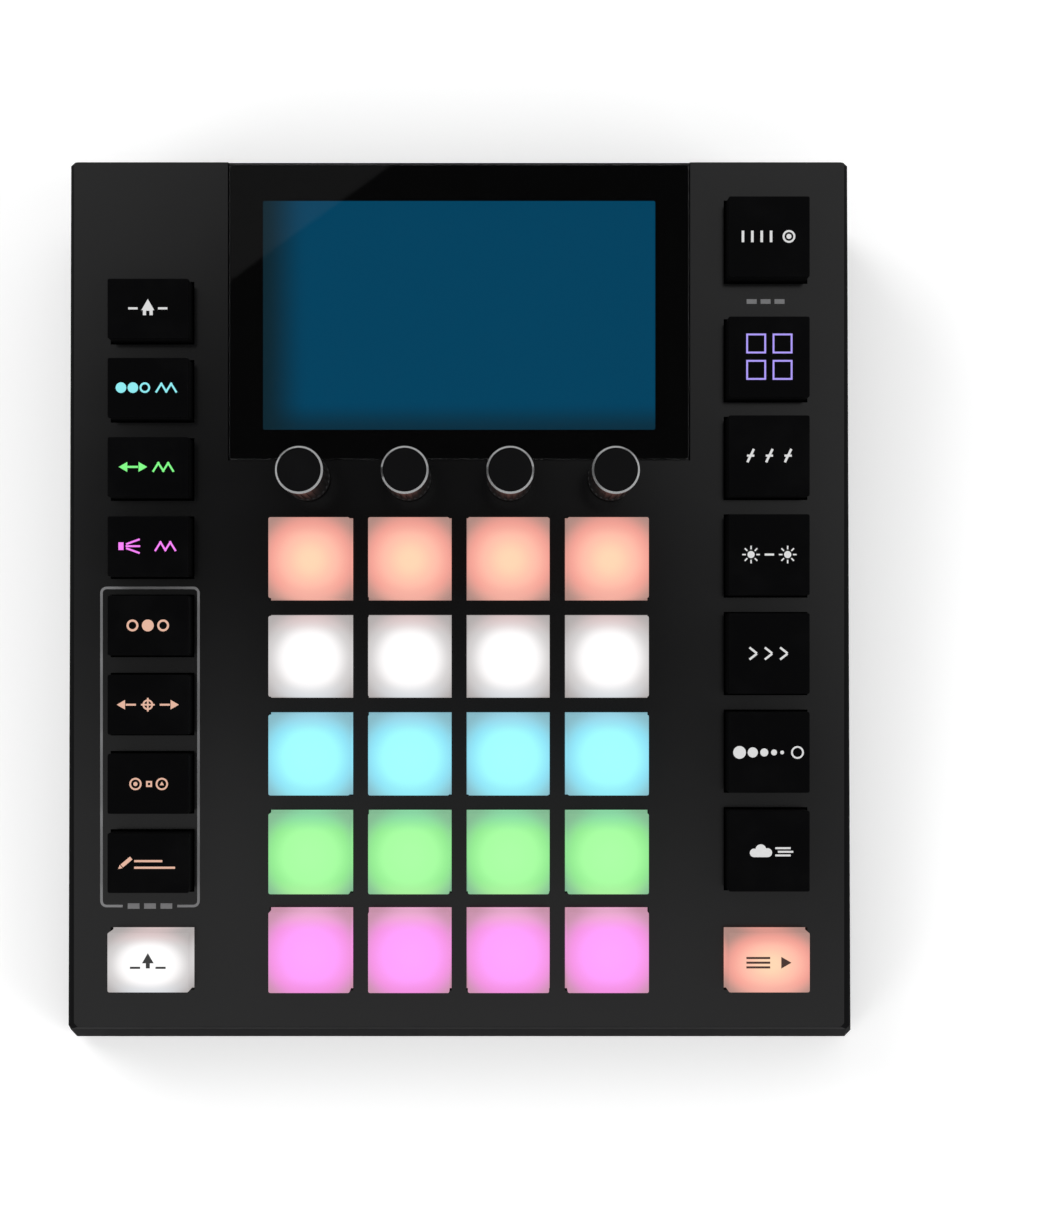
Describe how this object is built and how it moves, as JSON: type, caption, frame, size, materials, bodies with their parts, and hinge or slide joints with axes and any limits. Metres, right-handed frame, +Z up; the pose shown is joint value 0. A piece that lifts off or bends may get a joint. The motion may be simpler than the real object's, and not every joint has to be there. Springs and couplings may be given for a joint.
{
  "type": "lighting control desk",
  "caption": "Compact wedge-shaped lighting control desk with touch display, push encoders, lit pads, function keys and rear DMX sockets.",
  "frame": {"origin": "centre of the footprint, on the surface the feet stand on", "axes": "+Z up, -Y towards the operator (front edge), +Y towards the rear sockets, +X to the operator's right"},
  "size_m": [0.196, 0.2136, 0.0513],
  "materials": {
    "case_plastic": "fine-textured charcoal moulding, satin",
    "tray_steel": "black powder coat",
    "cover_glass": "polished, black printed border",
    "lcd": "lit blank screen, deep blue",
    "circuit_board": "green solder resist",
    "silicone": "translucent white silicone",
    "foot_rubber": "matt",
    "socket_metal": "black nickel die-cast shell",
    "key_black": "satin black cap, translucent legend",
    "lit_peach": "frosted cap lit from below",
    "lit_white": "frosted cap lit from below",
    "lit_cyan": "frosted cap lit from below",
    "lit_green": "frosted cap lit from below",
    "lit_pink": "frosted cap lit from below",
    "knob_plastic": "soft-touch black",
    "bright_steel": "turned and polished"
  },
  "bodies": {
    "case": {"top_case": "case_plastic", "bottom_case": "tray_steel", "screen_glass": "cover_glass", "display_module": "lcd", "main_board": "circuit_board", "key_mat": "silicone", "io_board": "circuit_board", "foot_front_left": "foot_rubber", "foot_front_right": "foot_rubber", "foot_rear_left": "foot_rubber", "foot_rear_right": "foot_rubber", "dmx_socket_1": "socket_metal", "dmx_socket_2": "socket_metal", "dmx_socket_3": "socket_metal", "dmx_socket_4": "socket_metal"},
    "key_home": {"key_home": "key_black"},
    "key_color_fx": {"key_color_fx": "key_black"},
    "key_move_fx": {"key_move_fx": "key_black"},
    "key_beam_fx": {"key_beam_fx": "key_black"},
    "key_color": {"key_color": "key_black"},
    "key_position": {"key_position": "key_black"},
    "key_gobo": {"key_gobo": "key_black"},
    "key_live_edit": {"key_live_edit": "key_black"},
    "key_shift": {"key_shift": "lit_white"},
    "key_tap": {"key_tap": "key_black"},
    "key_groups": {"key_groups": "key_black"},
    "key_strobe": {"key_strobe": "key_black"},
    "key_blinder": {"key_blinder": "key_black"},
    "key_speed": {"key_speed": "key_black"},
    "key_blackout": {"key_blackout": "key_black"},
    "key_smoke": {"key_smoke": "key_black"},
    "key_preset": {"key_preset": "lit_peach"},
    "pad_r1_c1": {"pad_r1_c1": "lit_peach"},
    "pad_r1_c2": {"pad_r1_c2": "lit_peach"},
    "pad_r1_c3": {"pad_r1_c3": "lit_peach"},
    "pad_r1_c4": {"pad_r1_c4": "lit_peach"},
    "pad_r2_c1": {"pad_r2_c1": "lit_white"},
    "pad_r2_c2": {"pad_r2_c2": "lit_white"},
    "pad_r2_c3": {"pad_r2_c3": "lit_white"},
    "pad_r2_c4": {"pad_r2_c4": "lit_white"},
    "pad_r3_c1": {"pad_r3_c1": "lit_cyan"},
    "pad_r3_c2": {"pad_r3_c2": "lit_cyan"},
    "pad_r3_c3": {"pad_r3_c3": "lit_cyan"},
    "pad_r3_c4": {"pad_r3_c4": "lit_cyan"},
    "pad_r4_c1": {"pad_r4_c1": "lit_green"},
    "pad_r4_c2": {"pad_r4_c2": "lit_green"},
    "pad_r4_c3": {"pad_r4_c3": "lit_green"},
    "pad_r4_c4": {"pad_r4_c4": "lit_green"},
    "pad_r5_c1": {"pad_r5_c1": "lit_pink"},
    "pad_r5_c2": {"pad_r5_c2": "lit_pink"},
    "pad_r5_c3": {"pad_r5_c3": "lit_pink"},
    "pad_r5_c4": {"pad_r5_c4": "lit_pink"},
    "encoder_shaft_1": {"encoder_shaft_1": "bright_steel"},
    "encoder_knob_1": {"encoder_knob_1": "knob_plastic"},
    "encoder_shaft_2": {"encoder_shaft_2": "bright_steel"},
    "encoder_knob_2": {"encoder_knob_2": "knob_plastic"},
    "encoder_shaft_3": {"encoder_shaft_3": "bright_steel"},
    "encoder_knob_3": {"encoder_knob_3": "knob_plastic"},
    "encoder_shaft_4": {"encoder_shaft_4": "bright_steel"},
    "encoder_knob_4": {"encoder_knob_4": "knob_plastic"}
  },
  "joints": [
    {"name": "encoder_1_push", "type": "slide", "parent": "case", "child": "encoder_shaft_1", "axis": [0, 0.0872, -0.9962], "range_m": [0, 0.0005], "stiffness_N_per_m": 3000},
    {"name": "encoder_1_turn", "type": "hinge", "parent": "encoder_shaft_1", "child": "encoder_knob_1", "pos_m": [-0.036, 0.02805, 0.04235], "axis": [0, -0.0872, 0.9962], "continuous": true},
    {"name": "encoder_2_push", "type": "slide", "parent": "case", "child": "encoder_shaft_2", "axis": [0, 0.0872, -0.9962], "range_m": [0, 0.0005], "stiffness_N_per_m": 3000},
    {"name": "encoder_2_turn", "type": "hinge", "parent": "encoder_shaft_2", "child": "encoder_knob_2", "pos_m": [-0.012, 0.02805, 0.04235], "axis": [0, -0.0872, 0.9962], "continuous": true},
    {"name": "encoder_3_push", "type": "slide", "parent": "case", "child": "encoder_shaft_3", "axis": [0, 0.0872, -0.9962], "range_m": [0, 0.0005], "stiffness_N_per_m": 3000},
    {"name": "encoder_3_turn", "type": "hinge", "parent": "encoder_shaft_3", "child": "encoder_knob_3", "pos_m": [0.012, 0.02805, 0.04235], "axis": [0, -0.0872, 0.9962], "continuous": true},
    {"name": "encoder_4_push", "type": "slide", "parent": "case", "child": "encoder_shaft_4", "axis": [0, 0.0872, -0.9962], "range_m": [0, 0.0005], "stiffness_N_per_m": 3000},
    {"name": "encoder_4_turn", "type": "hinge", "parent": "encoder_shaft_4", "child": "encoder_knob_4", "pos_m": [0.036, 0.02805, 0.04235], "axis": [0, -0.0872, 0.9962], "continuous": true},
    {"name": "key_home_press", "type": "slide", "parent": "case", "child": "key_home", "axis": [0, 0.0872, -0.9962], "range_m": [0, 0.0012], "stiffness_N_per_m": 450},
    {"name": "key_color_fx_press", "type": "slide", "parent": "case", "child": "key_color_fx", "axis": [0, 0.0872, -0.9962], "range_m": [0, 0.0012], "stiffness_N_per_m": 450},
    {"name": "key_move_fx_press", "type": "slide", "parent": "case", "child": "key_move_fx", "axis": [0, 0.0872, -0.9962], "range_m": [0, 0.0012], "stiffness_N_per_m": 450},
    {"name": "key_beam_fx_press", "type": "slide", "parent": "case", "child": "key_beam_fx", "axis": [0, 0.0872, -0.9962], "range_m": [0, 0.0012], "stiffness_N_per_m": 450},
    {"name": "key_color_press", "type": "slide", "parent": "case", "child": "key_color", "axis": [0, 0.0872, -0.9962], "range_m": [0, 0.0012], "stiffness_N_per_m": 450},
    {"name": "key_position_press", "type": "slide", "parent": "case", "child": "key_position", "axis": [0, 0.0872, -0.9962], "range_m": [0, 0.0012], "stiffness_N_per_m": 450},
    {"name": "key_gobo_press", "type": "slide", "parent": "case", "child": "key_gobo", "axis": [0, 0.0872, -0.9962], "range_m": [0, 0.0012], "stiffness_N_per_m": 450},
    {"name": "key_live_edit_press", "type": "slide", "parent": "case", "child": "key_live_edit", "axis": [0, 0.0872, -0.9962], "range_m": [0, 0.0012], "stiffness_N_per_m": 450},
    {"name": "key_shift_press", "type": "slide", "parent": "case", "child": "key_shift", "axis": [0, 0.0872, -0.9962], "range_m": [0, 0.0012], "stiffness_N_per_m": 450},
    {"name": "key_tap_press", "type": "slide", "parent": "case", "child": "key_tap", "axis": [0, 0.0872, -0.9962], "range_m": [0, 0.0012], "stiffness_N_per_m": 450},
    {"name": "key_groups_press", "type": "slide", "parent": "case", "child": "key_groups", "axis": [0, 0.0872, -0.9962], "range_m": [0, 0.0012], "stiffness_N_per_m": 450},
    {"name": "key_strobe_press", "type": "slide", "parent": "case", "child": "key_strobe", "axis": [0, 0.0872, -0.9962], "range_m": [0, 0.0012], "stiffness_N_per_m": 450},
    {"name": "key_blinder_press", "type": "slide", "parent": "case", "child": "key_blinder", "axis": [0, 0.0872, -0.9962], "range_m": [0, 0.0012], "stiffness_N_per_m": 450},
    {"name": "key_speed_press", "type": "slide", "parent": "case", "child": "key_speed", "axis": [0, 0.0872, -0.9962], "range_m": [0, 0.0012], "stiffness_N_per_m": 450},
    {"name": "key_blackout_press", "type": "slide", "parent": "case", "child": "key_blackout", "axis": [0, 0.0872, -0.9962], "range_m": [0, 0.0012], "stiffness_N_per_m": 450},
    {"name": "key_smoke_press", "type": "slide", "parent": "case", "child": "key_smoke", "axis": [0, 0.0872, -0.9962], "range_m": [0, 0.0012], "stiffness_N_per_m": 450},
    {"name": "key_preset_press", "type": "slide", "parent": "case", "child": "key_preset", "axis": [0, 0.0872, -0.9962], "range_m": [0, 0.0012], "stiffness_N_per_m": 450},
    {"name": "pad_r1_c1_press", "type": "slide", "parent": "case", "child": "pad_r1_c1", "axis": [0, 0.0872, -0.9962], "range_m": [0, 0.0012], "stiffness_N_per_m": 450},
    {"name": "pad_r1_c2_press", "type": "slide", "parent": "case", "child": "pad_r1_c2", "axis": [0, 0.0872, -0.9962], "range_m": [0, 0.0012], "stiffness_N_per_m": 450},
    {"name": "pad_r1_c3_press", "type": "slide", "parent": "case", "child": "pad_r1_c3", "axis": [0, 0.0872, -0.9962], "range_m": [0, 0.0012], "stiffness_N_per_m": 450},
    {"name": "pad_r1_c4_press", "type": "slide", "parent": "case", "child": "pad_r1_c4", "axis": [0, 0.0872, -0.9962], "range_m": [0, 0.0012], "stiffness_N_per_m": 450},
    {"name": "pad_r2_c1_press", "type": "slide", "parent": "case", "child": "pad_r2_c1", "axis": [0, 0.0872, -0.9962], "range_m": [0, 0.0012], "stiffness_N_per_m": 450},
    {"name": "pad_r2_c2_press", "type": "slide", "parent": "case", "child": "pad_r2_c2", "axis": [0, 0.0872, -0.9962], "range_m": [0, 0.0012], "stiffness_N_per_m": 450},
    {"name": "pad_r2_c3_press", "type": "slide", "parent": "case", "child": "pad_r2_c3", "axis": [0, 0.0872, -0.9962], "range_m": [0, 0.0012], "stiffness_N_per_m": 450},
    {"name": "pad_r2_c4_press", "type": "slide", "parent": "case", "child": "pad_r2_c4", "axis": [0, 0.0872, -0.9962], "range_m": [0, 0.0012], "stiffness_N_per_m": 450},
    {"name": "pad_r3_c1_press", "type": "slide", "parent": "case", "child": "pad_r3_c1", "axis": [0, 0.0872, -0.9962], "range_m": [0, 0.0012], "stiffness_N_per_m": 450},
    {"name": "pad_r3_c2_press", "type": "slide", "parent": "case", "child": "pad_r3_c2", "axis": [0, 0.0872, -0.9962], "range_m": [0, 0.0012], "stiffness_N_per_m": 450},
    {"name": "pad_r3_c3_press", "type": "slide", "parent": "case", "child": "pad_r3_c3", "axis": [0, 0.0872, -0.9962], "range_m": [0, 0.0012], "stiffness_N_per_m": 450},
    {"name": "pad_r3_c4_press", "type": "slide", "parent": "case", "child": "pad_r3_c4", "axis": [0, 0.0872, -0.9962], "range_m": [0, 0.0012], "stiffness_N_per_m": 450},
    {"name": "pad_r4_c1_press", "type": "slide", "parent": "case", "child": "pad_r4_c1", "axis": [0, 0.0872, -0.9962], "range_m": [0, 0.0012], "stiffness_N_per_m": 450},
    {"name": "pad_r4_c2_press", "type": "slide", "parent": "case", "child": "pad_r4_c2", "axis": [0, 0.0872, -0.9962], "range_m": [0, 0.0012], "stiffness_N_per_m": 450},
    {"name": "pad_r4_c3_press", "type": "slide", "parent": "case", "child": "pad_r4_c3", "axis": [0, 0.0872, -0.9962], "range_m": [0, 0.0012], "stiffness_N_per_m": 450},
    {"name": "pad_r4_c4_press", "type": "slide", "parent": "case", "child": "pad_r4_c4", "axis": [0, 0.0872, -0.9962], "range_m": [0, 0.0012], "stiffness_N_per_m": 450},
    {"name": "pad_r5_c1_press", "type": "slide", "parent": "case", "child": "pad_r5_c1", "axis": [0, 0.0872, -0.9962], "range_m": [0, 0.0012], "stiffness_N_per_m": 450},
    {"name": "pad_r5_c2_press", "type": "slide", "parent": "case", "child": "pad_r5_c2", "axis": [0, 0.0872, -0.9962], "range_m": [0, 0.0012], "stiffness_N_per_m": 450},
    {"name": "pad_r5_c3_press", "type": "slide", "parent": "case", "child": "pad_r5_c3", "axis": [0, 0.0872, -0.9962], "range_m": [0, 0.0012], "stiffness_N_per_m": 450},
    {"name": "pad_r5_c4_press", "type": "slide", "parent": "case", "child": "pad_r5_c4", "axis": [0, 0.0872, -0.9962], "range_m": [0, 0.0012], "stiffness_N_per_m": 450}
  ]
}
